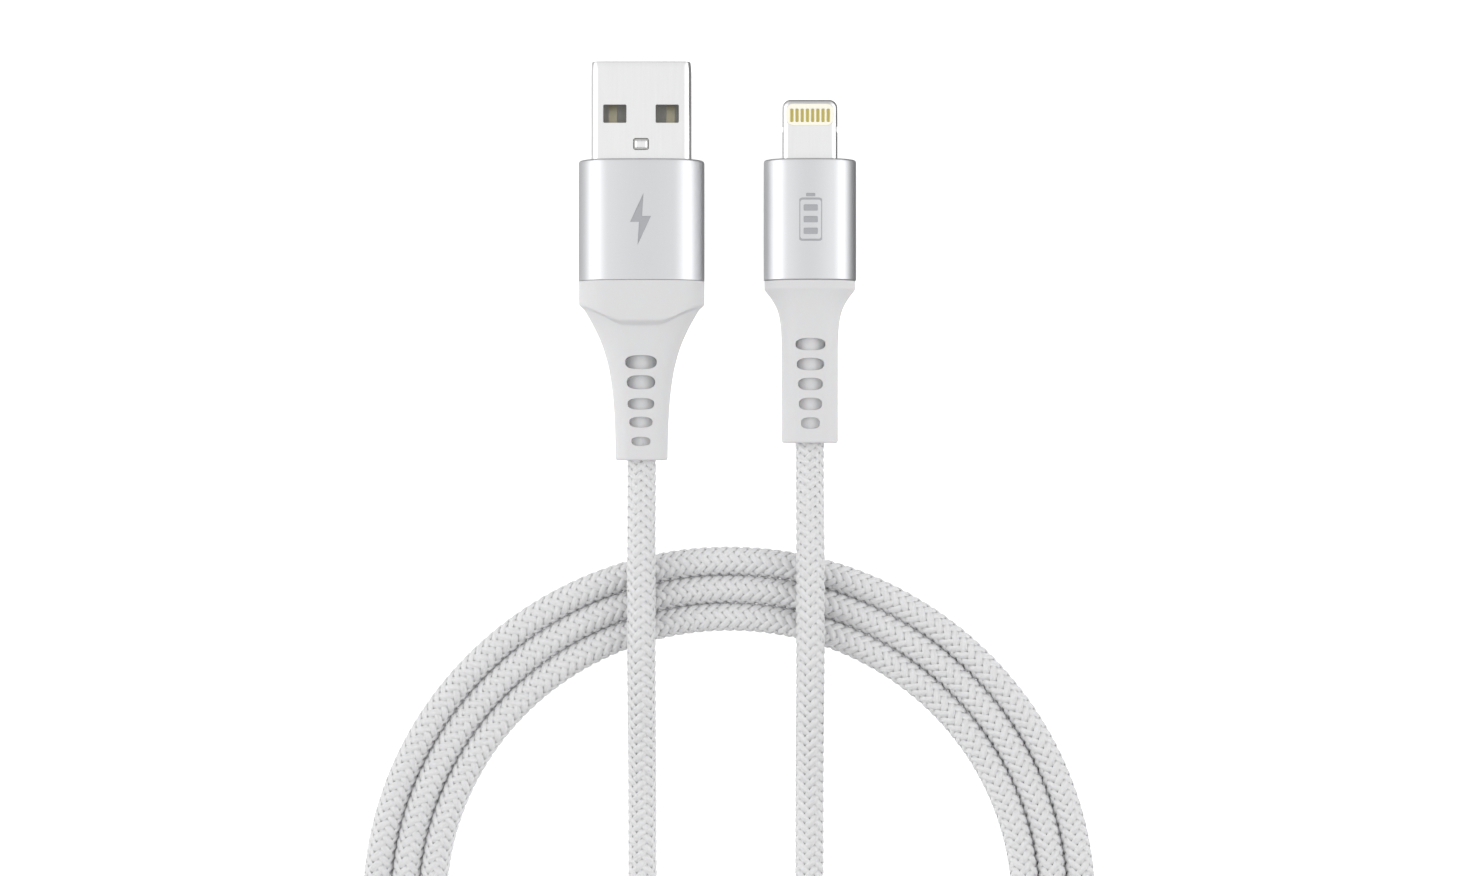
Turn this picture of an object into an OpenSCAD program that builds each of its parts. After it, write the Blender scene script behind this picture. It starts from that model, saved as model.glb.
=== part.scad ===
// Braided charging cable, lying coiled on a table, in millimetres.
// +Y runs from the coil towards the plugs' tips, +X to the right, +Z up.
// The table is z = 0, and the origin is the bottom centre of the two plugs.

/* [Charger plug] */
// Width of the metal shell that goes into the charger
shell_w = 12.0; // [11.8:0.1:12.2]
// Thickness of the metal shell
shell_t = 4.5; // [4.4:0.1:4.6]
// Sheet thickness of the metal shell
shell_wall = 0.3; // [0.25:0.05:0.35]
// Length of shell that stands out of the housing
shell_out = 11.8; // [11.6:0.1:12.6]
// Width of the aluminium housing
charger_w = 15.2; // [14.8:0.1:16.0]
// Thickness of the aluminium housing
charger_t = 7.6; // [7.4:0.1:8.2]
// Length of the aluminium housing
charger_l = 14.6; // [14.2:0.1:15.0]
// Length of the soft boot behind the housing
charger_boot_l = 21.6; // [20.8:0.1:24.0]

/* [Phone plug] */
// Width of the tab that goes into the phone
tab_w = 6.7; // [6.6:0.1:6.8]
// Thickness of the tab
tab_t = 1.5; // [1.4:0.1:1.6]
// Length of tab that stands out of the housing
tab_out = 7.4; // [6.8:0.1:7.6]
// Distance between neighbouring contacts
contact_pitch = 0.63; // [0.60:0.01:0.65]
// Width of the aluminium housing
phone_w = 11.2; // [11.0:0.1:12.0]
// Thickness of the aluminium housing
phone_t = 6.2; // [6.0:0.1:6.8]
// Length of the aluminium housing
phone_l = 14.7; // [14.4:0.1:15.2]
// Length of the soft boot behind the housing
phone_boot_l = 19.6; // [19.0:0.1:21.0]

/* [Cord] */
// Diameter of the braided cord
cord_d = 3.4; // [3.2:0.1:3.6]
// Radius of the innermost turn of the coil, to the middle of the cord
coil_r = 35.8; // [35.6:0.1:36.0]
// Number of turns that lie side by side
coil_turns = 3; // [2:1:3]

/* [Hidden] */
$fn = 48;
gap = 0.02;            // clearance between two pieces that touch
through = 1;           // how far a cutter stands past what it cuts

// Places along Y of what stands out of each plug
charger_x = -9.2;
charger_front = 12.0;
charger_rear = charger_front - charger_l;
charger_tip = charger_front + shell_out;
charger_end = charger_rear - charger_boot_l;
phone_x = 11.2;
phone_front = 12.2;
phone_rear = phone_front - phone_l;
phone_tip = phone_front + tab_out;
phone_end = phone_rear - phone_boot_l;

// Housings
charger_corner = 3.4;
charger_wall = 0.7;
phone_corner = 2.6;
phone_wall = 0.6;
front_wall = 0.8;

// Charger plug, inside
shell_rear = 5.4;
shell_corner = 0.65;
window_w = 2.8;
window_l = 2.2;
window_x = 3.15;
window_y = charger_tip - 6.3;
lock_w = 1.9;
lock_l = 1.45;
lock_y = charger_tip - 9.95;
nub_gap = 0.1;         // all round the nub that stands in the lock slot
block_rear = 6.0;
block_front = charger_tip - 9.0;
tongue_front = charger_tip - 0.6;
tongue_w = 11.1;
strip_w = 1.0;
strip_t = 0.2;
strip_rear = 4.0;
power_x = 3.5;
data_x = 1.0;
power_front = charger_tip - 1.8;
data_front = charger_tip - 2.8;
charger_spigot = 1.8;
charger_cord_in = 1.4;

// Phone plug, inside
tip_corner = 1.0;
tab_side_flat = 0.05;  // half height of the flat along each side of the tab
tab_rear = 8.4;
flange_w = 7.8;
flange_t = 2.4;
flange_l = 0.8;
flange_corner = 0.5;
field_w = 5.85;
field_l = 2.67;
field_rim = 0.55;
field_corner = 0.9;
field_rear = phone_tip - field_rim - field_l;
contact_w = 0.38;
contact_l = 1.6;
contact_count = 8;
contact_back = 0.1;    // from the field's middle to the contacts' middle
contact_y = field_rear + field_l / 2 - contact_back;
notch_r = 0.45;
notch_depth = 0.25;
notch_t = 0.9;
notch_y = field_rear - 0.4;
board_t = 0.5;
board_w = 6.4;
board_rear = 2.4;
pad_x = 1.9;
board_front = tab_rear - 0.2;
board_tongue_w = 4.9;
board_tongue_front = phone_tip - 1.1;
chip_w = 2.2;
chip_t = 0.6;
chip_y = 5.8;
small_chip_w = 0.5;
small_chip_l = 1.0;
small_chip_t = 0.3;
small_chip_pitch = 1.3;
small_chip_count = 4;
can_w = 8.4;
can_t = 1.6;
can_wall = 0.15;
can_rear = 3.6;
can_front = tab_rear - 0.4;
phone_spigot = 1.2;
phone_cord_in = 0.2;

// Ferrules that clamp the braid and jacket inside both plugs
ferrule_wall = 0.5;
ferrule_l = 1.5;
ferrule_back = 0.2;    // from the cord's end face to the ferrule

// Wires inside the cord
wire_d = 0.9;
bundle = 0.55;         // half the distance between neighbouring wires in the cord
wire_clear = 0.3;      // from the cord's end face to the wires' ends
charger_wire_back = 0.7;   // from the insulator block to a wire's end on its contact
charger_wire_bend = 0.15;  // from a contact's tail to the wire's bend behind it
phone_wire_back = 0.1;     // from the shield can to a wire's end on the board
phone_wire_bend = 0.2;     // from the board's edge to the wire's bend behind it

// Boots: the half width falls from the collar to the cord along
// half_end + drop * exp(-(s / reach) ^ power), s being the way past the collar
boot_power = 1.25;
boot_rings = 14;
boot_flat = 1.3;       // half width of the flat along the top of the neck
charger_collar = 3.0;          // length of the collar's sides
charger_collar_tongue = 2.1;   // how far the middle of its rear edge stands back from them
charger_collar_flat_x = 3.1;   // half width of the straight middle of that edge
charger_collar_bend_x = 5.6;   // where the slanting part of that edge bends
charger_collar_bend_y = 0.75;  // how far behind the sides' ends it bends
charger_neck_from = 2.2;       // from the housing to where the neck starts to narrow
charger_neck_extra_t = 1.15;   // added to half the neck's thickness at the collar
boot_overlap = 1.2;            // how far the neck starts inside the collar
boot_crowding = 1.3;           // more rings where the neck narrows fast
boot_side_flat = 0.3;          // half height of the flat down each side of the neck
neck_set_in = 0.05;            // from the collar's side to the neck's
charger_neck_end = 3.1;
charger_neck_reach = 5.6;
phone_collar = 0.95;
phone_neck_end = 3.4;
phone_neck_reach = 2.0;
phone_crowding = 1.6;
neck_half_t = 2.6;
pocket_floor = 0.3;    // rubber left between a pocket and the cord
pocket_deepest = 0.9;  // from the boot's middle plane to the deepest place of a pocket

// Pockets of each boot: way behind the housing, width, length
charger_pockets = [[9.8, 3.8, 1.7], [12.2, 3.4, 1.7], [14.8, 3.2, 1.4],
                   [17.0, 2.8, 1.3], [19.3, 2.3, 1.1]];
phone_pockets = [[7.7, 3.6, 1.5], [10.1, 3.3, 1.5], [12.5, 3.0, 1.5],
                 [14.9, 2.8, 1.5], [17.2, 2.3, 1.4]];

// Coil of cord
coil_x = 1.4;
coil_y = -78.6;
tube_sides = 8;

// Route of the cord from inside the charger plug to where it joins the coil's inner turn
charger_route = [
    [-9.2, 1.4, 3.8],
    [-9.2, -6, 3.8],
    [-9.2, -14, 3.8],
    [-9.2, -21, 3.8],
    [-9.2, -25.5, 3.8],
    [-9.2, -30, 4.4],
    [-9.2, -35, 5.1],
    [-9.2, -41, 5.2],
    [-9.2, -47, 5.1],
    [-9.2, -52.5, 4.4],
    [-9.2, -58, 3.1],
    [-9.2, -64, 2.0],
    [-9.2, -71, 1.7],
    [-9.2, -79, 1.7],
    [-9.2, -87.6, 1.7],
    [-7.9, -95.1, 1.7],
    [-4.1, -101.7, 1.7],
    [1.8, -106.7, 1.7],
    [9, -109.3, 1.7],
    [16.6, -109.3, 1.7],
    [23.8, -106.7, 1.7],
    [30.3, -100.9, 1.7],
];

// Route of the cord from inside the phone plug to where it lies down in the coil's outer turn
phone_route = [
    [11.2, 0.2, 3.1],
    [11.2, -7, 3.1],
    [11.2, -14, 3.1],
    [11.2, -20, 3.1],
    [11.2, -24.5, 3.1],
    [11.2, -29.5, 4.1],
    [11.2, -35, 5.1],
    [11.2, -41, 5.2],
    [11.2, -47, 5.1],
    [11.2, -52.5, 4.4],
    [11.2, -58, 3.1],
    [11.2, -64, 2.0],
    [11.2, -72, 1.7],
    [11.2, -81, 1.7],
    [11.2, -88.5, 2.3],
    [10.1, -95.8, 3.7],
    [6.9, -102.5, 4.9],
    [1.9, -107.9, 5.2],
    [-4.4, -111.7, 5.2],
    [-11.6, -113.4, 5.2],
    [-19, -113, 5.1],
    [-25.9, -110.4, 4.5],
    [-31.2, -106.5, 3.1],
    [-35, -101.7, 1.9],
];

// ---------------------------------------------------------------- functions

function unit(v) = v / norm(v);

// Direction of a route at one of its points
function heading(route, i) =
    unit(route[min(i + 1, len(route) - 1)] - route[max(i - 1, 0)]);

// One ring of points round a route, with one point straight below the middle and one above
function tube_ring(route, i, r) =
    let (ahead = heading(route, i),
         side = unit(cross(ahead, [0, 0, 1])),
         up = cross(side, ahead))
    [for (k = [0 : tube_sides - 1])
        route[i] + r * (cos(360 * k / tube_sides) * side + sin(360 * k / tube_sides) * up)];

// Half width of a boot's neck, s being the way past the collar
function neck_half_w(s, half_start, half_end, reach) =
    half_end + (half_start - half_end) * exp(-pow(max(s, 0) / reach, boot_power));

// Quarter ellipses on four corners: half sizes w and h, corner sizes rx and rz
function boot_section(w, h, rx, rz, steps = 6) =
    [for (q = [0 : 3]) for (k = [0 : steps])
        let (a = 90 * (q + k / steps),
             sx = (q == 0 || q == 3) ? -1 : 1,
             sz = (q < 2) ? 1 : -1)
        [sx * (w - rx) - rx * cos(a), sz * (h - rz) + rz * sin(a)]];

// Side faces between rings of n points, with the two flat ends
function skin_faces(rings, n) = concat(
    [for (i = [0 : rings - 2]) for (k = [0 : n - 1])
        [i * n + k, i * n + (k + 1) % n, (i + 1) * n + (k + 1) % n, (i + 1) * n + k]],
    [[for (k = [n - 1 : -1 : 0]) k]],
    [[for (k = [0 : n - 1]) (rings - 1) * n + k]]);

// ---------------------------------------------------------------- shared shapes

module at_charger() {
    translate([charger_x, 0, charger_t / 2]) children();
}

module at_phone() {
    translate([phone_x, 0, phone_t / 2]) children();
}

// A section drawn in X and Z, run along Y
module run(from, to) {
    translate([0, to, 0]) rotate([90, 0, 0]) linear_extrude(to - from) children();
}

module round_rect(w, h, r) {
    square([w - 2 * r, h], center = true);
    square([w, h - 2 * r], center = true);
    for (sx = [-1, 1], sy = [-1, 1])
        translate([sx * (w / 2 - r), sy * (h / 2 - r)]) circle(r);
}

module box(x0, x1, y0, y1, z0, z1) {
    translate([x0, y0, z0]) cube([x1 - x0, y1 - y0, z1 - z0]);
}

module skin(rings) {
    n = len(rings[0]);
    polyhedron([for (ring = rings) each ring], skin_faces(len(rings), n), convexity = 4);
}

module tube(route, r) {
    skin([for (i = [0 : len(route) - 1]) tube_ring(route, i, r)]);
}

// One insulated wire: along its solder pad, then across to its place in the end of the cord
module wire(pad, elbow_y, cord_y, side_x, side_z) {
    elbow = [pad[0], elbow_y, pad[2]];
    tube([pad, elbow, [side_x * bundle, cord_y, side_z * bundle]], wire_d / 2);
}

// The cord's own bore, through whatever grips it
module cord_bore(from, to) {
    run(from, to) circle(d = cord_d);
}

module ferrule(cord_in) {
    difference() {
        run(cord_in - ferrule_back - ferrule_l, cord_in - ferrule_back)
            circle(d = cord_d + 2 * ferrule_wall);
        cord_bore(cord_in - ferrule_l - through, cord_in + through);
    }
}

module ferrule_hole(cord_in) {
    run(cord_in - ferrule_back - ferrule_l - gap, cord_in - ferrule_back + gap)
        circle(d = cord_d + 2 * ferrule_wall + 2 * gap);
}

// A sleeve drawn from tube, closed in front but for the opening that the plug comes out of
module housing(w, t, corner, wall, rear, front) {
    difference() {
        run(rear, front) round_rect(w, t, corner);
        run(rear - through, front - front_wall)
            round_rect(w - 2 * wall, t - 2 * wall, corner - wall);
        children();
    }
}

// The part of a boot that goes into the housing's rear
module spigot(w, t, corner, wall, rear, depth) {
    run(rear - gap, rear + depth)
        round_rect(w - 2 * wall - 2 * gap, t - 2 * wall - 2 * gap, corner - wall - gap);
}

// Long pockets across the top and the underside of a boot, down to a round floor over the cord
module pockets(list, rear, end) {
    difference() {
        for (p = list, side = [0, 1])
            mirror([0, 0, side]) translate([0, rear - p[0], pocket_deepest])
                linear_extrude(charger_t) round_rect(p[1], p[2], p[2] / 2 - gap);
        run(end, rear) circle(cord_d / 2 + pocket_floor);
    }
}

// ---------------------------------------------------------------- charger plug

module shell_profile(grow = 0) {
    round_rect(shell_w + 2 * grow, shell_t + 2 * grow, shell_corner + grow);
}

module shell_inside(shrink = 0) {
    inner = shell_wall + shrink;
    round_rect(shell_w - 2 * inner, shell_t - 2 * inner, shell_corner - shell_wall);
}

module charger_shell() {
    color("silver") at_charger() difference() {
        run(shell_rear, charger_tip) shell_profile();
        run(shell_rear - through, charger_tip + through) shell_inside();
        for (sx = [-1, 1])
            box(sx * window_x - window_w / 2, sx * window_x + window_w / 2,
                window_y - window_l / 2, window_y + window_l / 2, -shell_t, shell_t);
        box(-lock_w / 2, lock_w / 2, lock_y - lock_l / 2, lock_y + lock_l / 2, 0, shell_t);
    }
}

// Two contact strips, each lying in its own groove of the insulator
module strips(x, front, grow = 0) {
    for (sx = [-1, 1])
        box(sx * x - strip_w / 2 - grow, sx * x + strip_w / 2 + grow, strip_rear - grow,
            front, -strip_t - grow, grow);
}

module charger_insulator() {
    inside_t = shell_t - 2 * shell_wall - 2 * gap;
    color("gainsboro") at_charger() difference() {
        union() {
            box(-tongue_w / 2, tongue_w / 2, block_rear + through, tongue_front,
                -inside_t / 2, 0);
            run(block_rear, block_front) shell_inside(gap);
            box(-lock_w / 2 + nub_gap, lock_w / 2 - nub_gap, lock_y - lock_l / 2 + nub_gap,
                lock_y + lock_l / 2 - nub_gap, 0, shell_t / 2 - nub_gap);
        }
        strips(power_x, power_front);
        strips(data_x, data_front);
    }
}

module charger_power_contacts() {
    color("gold") at_charger() strips(power_x, power_front);
}

module charger_data_contacts() {
    color("gold") at_charger() strips(data_x, data_front);
}

// A wire lies on its contact's tail, and bends just behind it
module charger_wire(x, side_x, side_z) {
    wire([x, block_rear - charger_wire_back, wire_d / 2 + gap], strip_rear - charger_wire_bend,
         charger_cord_in + wire_clear, side_x, side_z);
}

module charger_supply_wire() {
    color("firebrick") at_charger() charger_wire(power_x, 1, 1);
}

module charger_data_minus_wire() {
    color("white") at_charger() charger_wire(data_x, 1, -1);
}

module charger_data_plus_wire() {
    color("seagreen") at_charger() charger_wire(-data_x, -1, -1);
}

module charger_ground_wire() {
    color("dimgray") at_charger() charger_wire(-power_x, -1, 1);
}

module charger_ferrule() {
    color("goldenrod") at_charger() ferrule(charger_cord_in);
}

module charger_inner_mould() {
    color("whitesmoke") at_charger() difference() {
        run(charger_rear + charger_spigot + gap, charger_front - front_wall - gap)
            round_rect(charger_w - 2 * charger_wall - 2 * gap,
                       charger_t - 2 * charger_wall - 2 * gap,
                       charger_corner - charger_wall - gap);
        run(shell_rear - gap, charger_front + through) shell_profile(gap);
        strips(power_x, power_front, gap);
        strips(data_x, data_front, gap);
        for (sx = [-1, 1]) {
            charger_wire(sx * power_x, sx, 1);
            charger_wire(sx * data_x, sx, -1);
        }
        ferrule_hole(charger_cord_in);
        cord_bore(charger_rear - through, charger_cord_in + gap);
    }
}

module charger_housing() {
    color("lightgray") at_charger()
        housing(charger_w, charger_t, charger_corner, charger_wall, charger_rear,
                charger_front)
            run(0, charger_front + through) shell_profile(gap);
}

// The collar keeps the housing's section, and its rear edge is cut back towards the sides
module charger_collar_body() {
    start = charger_rear - gap;
    full = charger_rear - charger_collar;
    end = full - charger_collar_tongue;
    intersection() {
        run(end, start) round_rect(charger_w, charger_t, charger_corner);
        translate([0, 0, -charger_t]) linear_extrude(2 * charger_t)
            polygon([[-charger_w, start], [charger_w, start], [charger_w / 2, full],
                     [charger_collar_bend_x, full - charger_collar_bend_y],
                     [charger_collar_flat_x, end], [-charger_collar_flat_x, end],
                     [-charger_collar_bend_x, full - charger_collar_bend_y],
                     [-charger_w / 2, full], [-charger_w, full]]);
    }
}

module charger_neck() {
    neck_start = charger_rear - charger_neck_from;
    length = neck_start - charger_end;
    skin([for (i = [-1 : boot_rings])
        let (s = i < 0 ? -boot_overlap : length * pow(i / boot_rings, boot_crowding),
             w = neck_half_w(s, charger_w / 2 - neck_set_in, charger_neck_end,
                             charger_neck_reach),
             h = neck_half_t + charger_neck_extra_t * exp(-max(s, 0) / charger_neck_reach))
        [for (p = boot_section(w, h, w - boot_flat, h - boot_side_flat))
            [p[0], neck_start - s, p[1]]]]);
}

module charger_boot() {
    color("white") at_charger() difference() {
        union() {
            charger_collar_body();
            charger_neck();
            spigot(charger_w, charger_t, charger_corner, charger_wall, charger_rear,
                   charger_spigot);
        }
        cord_bore(charger_end - through, charger_rear + charger_spigot + through);
        pockets(charger_pockets, charger_rear, charger_end);
    }
}

// ---------------------------------------------------------------- phone plug

// The tab's plan runs on behind its rear, so that only the tip's corners are round
module tab_body(rear, grow = 0) {
    behind = 2 * tip_corner;
    intersection() {
        run(rear, phone_tip) round_rect(tab_w + 2 * grow, tab_t + 2 * grow,
                                        tab_t / 2 - tab_side_flat + grow);
        translate([0, (rear - behind + phone_tip) / 2, -tab_t]) linear_extrude(2 * tab_t)
            round_rect(tab_w + 2 * grow, phone_tip - rear + behind, tip_corner);
    }
}

module contact_field(grow = 0) {
    translate([0, field_rear + field_l / 2, -tab_t]) linear_extrude(2 * tab_t)
        round_rect(field_w + 2 * grow, field_l + 2 * grow, field_corner);
}

module board_body(grow = 0) {
    half = board_t / 2 + grow;
    box(-board_w / 2 - grow, board_w / 2 + grow, board_rear - grow, board_front, -half, half);
    box(-board_tongue_w / 2 - grow, board_tongue_w / 2 + grow, board_front,
        board_tongue_front + grow, -half, half);
}

module contact_row(side) {
    for (i = [0 : contact_count - 1])
        translate([(i - (contact_count - 1) / 2) * contact_pitch, contact_y,
                   side * (tab_t / 2 + board_t / 2) / 2])
            cube([contact_w, contact_l, (tab_t - board_t) / 2 - gap], center = true);
}

module phone_tab_frame() {
    color("silver") at_phone() difference() {
        union() {
            tab_body(tab_rear);
            run(tab_rear, tab_rear + flange_l) round_rect(flange_w, flange_t, flange_corner);
        }
        contact_field();
        board_body(gap);
        for (sx = [-1, 1])
            translate([sx * (tab_w / 2 - notch_depth + notch_r), notch_y, 0])
                cylinder(r = notch_r, h = notch_t, center = true);
    }
}

module phone_contact_carrier() {
    color("whitesmoke") at_phone() difference() {
        intersection() {
            contact_field(-gap);
            translate([0, phone_tip, 0])
                cube([tab_w, 2 * phone_tip, tab_t - 2 * gap], center = true);
        }
        board_body(gap);
        contact_row(1);
        contact_row(-1);
    }
}

module phone_contacts_top() {
    color("gold") at_phone() contact_row(1);
}

module phone_contacts_bottom() {
    color("gold") at_phone() contact_row(-1);
}

module phone_circuit_board() {
    color("darkgreen") at_phone() board_body();
}

module phone_control_chip() {
    color("#222222") at_phone()
        box(-chip_w / 2, chip_w / 2, chip_y - chip_w / 2, chip_y + chip_w / 2,
            board_t / 2 + gap, board_t / 2 + chip_t);
}

module phone_small_chips() {
    color("tan") at_phone() for (i = [0 : small_chip_count - 1])
        translate([(i - (small_chip_count - 1) / 2) * small_chip_pitch, chip_y,
                   -board_t / 2 - small_chip_t / 2 - gap])
            cube([small_chip_w, small_chip_l, small_chip_t], center = true);
}

module shield(side) {
    far = side * (board_t / 2 + can_t);
    near = side * (board_t / 2 + gap);
    inner = side * (board_t / 2 + can_t - can_wall);
    difference() {
        box(-can_w / 2, can_w / 2, can_rear, can_front, min(near, far), max(near, far));
        box(-can_w / 2 + can_wall, can_w / 2 - can_wall, can_rear + can_wall,
            can_front - can_wall, min(inner, -side), max(inner, -side));
    }
}

module phone_shield_top() {
    color("lightsteelblue") at_phone() shield(1);
}

module phone_shield_bottom() {
    color("lightsteelblue") at_phone() shield(-1);
}

// Supply and ground are soldered on top of the board, the two data wires under it
module phone_wire(side_x, side_z) {
    wire([side_x * pad_x, can_rear - phone_wire_back, side_z * (board_t / 2 + wire_d / 2 + gap)],
         board_rear - phone_wire_bend, phone_cord_in + wire_clear, side_x, side_z);
}

module phone_supply_wire() {
    color("firebrick") at_phone() phone_wire(1, 1);
}

module phone_data_minus_wire() {
    color("white") at_phone() phone_wire(1, -1);
}

module phone_data_plus_wire() {
    color("seagreen") at_phone() phone_wire(-1, -1);
}

module phone_ground_wire() {
    color("dimgray") at_phone() phone_wire(-1, 1);
}

module phone_ferrule() {
    color("goldenrod") at_phone() ferrule(phone_cord_in);
}

module phone_inner_mould() {
    color("whitesmoke") at_phone() difference() {
        run(phone_rear + phone_spigot + gap, phone_front - front_wall - gap)
            round_rect(phone_w - 2 * phone_wall - 2 * gap, phone_t - 2 * phone_wall - 2 * gap,
                       phone_corner - phone_wall - gap);
        tab_body(tab_rear - gap, gap);
        run(tab_rear - gap, tab_rear + flange_l + gap)
            round_rect(flange_w + 2 * gap, flange_t + 2 * gap, flange_corner);
        box(-can_w / 2 - gap, can_w / 2 + gap, can_rear - gap, tab_rear,
            -board_t / 2 - can_t - gap, board_t / 2 + can_t + gap);
        board_body(gap);
        for (sx = [-1, 1], sz = [-1, 1])
            phone_wire(sx, sz);
        ferrule_hole(phone_cord_in);
        cord_bore(phone_rear - through, phone_cord_in + gap);
    }
}

module phone_housing() {
    color("lightgray") at_phone()
        housing(phone_w, phone_t, phone_corner, phone_wall, phone_rear, phone_front)
            tab_body(0, gap);
}

// The boot starts at the housing's own section and narrows to a slim neck
module phone_boot_body() {
    collar_end = phone_rear - phone_collar;
    length = collar_end - phone_end;
    start_w = phone_w / 2;
    start_h = phone_t / 2;
    skin([for (i = [-1 : boot_rings])
        let (s = i < 0 ? -phone_collar + gap : length * pow(i / boot_rings, phone_crowding),
             blend = 1 - exp(-max(s, 0) / phone_neck_reach),
             w = neck_half_w(s, start_w - (i < 0 ? 0 : 2 * neck_set_in), phone_neck_end,
                             phone_neck_reach),
             h = start_h + (neck_half_t - start_h) * blend,
             rx = phone_corner + (w - boot_flat - phone_corner) * blend,
             rz = phone_corner + (h - boot_side_flat - phone_corner) * blend)
        [for (p = boot_section(w, h, rx, rz)) [p[0], collar_end - s, p[1]]]]);
}

module phone_boot() {
    color("white") at_phone() difference() {
        union() {
            phone_boot_body();
            spigot(phone_w, phone_t, phone_corner, phone_wall, phone_rear, phone_spigot);
        }
        cord_bore(phone_end - through, phone_rear + phone_spigot + through);
        pockets(phone_pockets, phone_rear, phone_end);
    }
}

// ---------------------------------------------------------------- cord

module cord_charger_lead() {
    color("gainsboro") tube(charger_route, cord_d / 2);
}

// Turns that lie side by side on the table, as one ring with round edges
module cord_coil() {
    inner = coil_r - cord_d / 2;
    outer = coil_r + (coil_turns - 0.5) * cord_d;
    color("gainsboro") translate([coil_x, coil_y, cord_d / 2])
        rotate_extrude($fn = 120) {
            translate([inner + cord_d / 2, -cord_d / 2]) square([outer - inner - cord_d, cord_d]);
            for (x = [inner + cord_d / 2, outer - cord_d / 2])
                translate([x, 0]) circle(d = cord_d);
        }
}

module cord_phone_lead() {
    color("gainsboro") tube(phone_route, cord_d / 2);
}

charger_shell();
charger_insulator();
charger_power_contacts();
charger_data_contacts();
charger_supply_wire();
charger_data_minus_wire();
charger_data_plus_wire();
charger_ground_wire();
charger_ferrule();
charger_inner_mould();
charger_housing();
charger_boot();
phone_tab_frame();
phone_contact_carrier();
phone_contacts_top();
phone_contacts_bottom();
phone_circuit_board();
phone_control_chip();
phone_small_chips();
phone_shield_top();
phone_shield_bottom();
phone_supply_wire();
phone_data_minus_wire();
phone_data_plus_wire();
phone_ground_wire();
phone_ferrule();
phone_inner_mould();
phone_housing();
phone_boot();
cord_charger_lead();
cord_coil();
cord_phone_lead();
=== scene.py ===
"""Braided charging cable: the looks of its plugs, boots and woven cord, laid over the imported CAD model.

Sizes in the classes are millimetres in the CAD model's own frame: +Y towards the plugs' tips, +X to the
right, +Z up, the table at z = 0. They become metres where a mesh is made.
"""

import logging
import math
from dataclasses import dataclass, field
from enum import Enum
from typing import Callable, Iterable, Optional, Sequence

import bmesh
import bpy
import numpy as np
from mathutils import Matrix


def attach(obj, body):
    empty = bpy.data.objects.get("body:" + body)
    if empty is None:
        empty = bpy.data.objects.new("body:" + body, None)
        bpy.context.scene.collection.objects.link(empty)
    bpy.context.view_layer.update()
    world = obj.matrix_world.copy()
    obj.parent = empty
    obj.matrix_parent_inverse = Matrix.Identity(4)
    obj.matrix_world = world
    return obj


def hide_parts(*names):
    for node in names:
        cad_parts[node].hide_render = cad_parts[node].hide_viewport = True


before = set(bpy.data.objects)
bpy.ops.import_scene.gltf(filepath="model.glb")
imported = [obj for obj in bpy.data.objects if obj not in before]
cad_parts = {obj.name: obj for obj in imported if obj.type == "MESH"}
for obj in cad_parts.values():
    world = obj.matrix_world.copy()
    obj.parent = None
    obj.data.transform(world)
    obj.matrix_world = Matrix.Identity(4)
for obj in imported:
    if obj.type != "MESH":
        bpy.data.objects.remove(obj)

LOG = logging.getLogger("charging_cable")
MM = 0.001
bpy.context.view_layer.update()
SHARP_ANGLE = math.radians(32)
Plan = Callable[[float], np.ndarray]


# ------------------------------------------------------------------ colours and nodes


def linear(code: str) -> tuple[float, float, float, float]:
    """Turn an sRGB hex colour into the linear colour that shaders take.

    Args:
        code: six hex digits after a hash sign.

    Returns:
        Red, green, blue and alpha, linear.
    """
    values = [int(code[i : i + 2], 16) / 255 for i in (1, 3, 5)]
    red, green, blue = (v / 12.92 if v <= 0.04045 else ((v + 0.055) / 1.055) ** 2.4 for v in values)
    return red, green, blue, 1.0


def add_node(
    tree: bpy.types.NodeTree, kind: str, links: Optional[dict] = None, **settings: object
) -> bpy.types.Node:
    """Add one node, with its inputs and its settings.

    Args:
        tree: the node tree it goes into.
        kind: Blender's name of the node's type.
        links: a value or another node's output for each input, by the input's name or number.
        settings: the node's own properties.

    Returns:
        The new node.
    """
    node = tree.nodes.new(kind)
    for name, value in settings.items():
        setattr(node, name, value)
    for key, value in (links or {}).items():
        if isinstance(value, bpy.types.NodeSocket):
            tree.links.new(value, node.inputs[key])
        else:
            node.inputs[key].default_value = value
    return node


# ------------------------------------------------------------------ finishes


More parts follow.
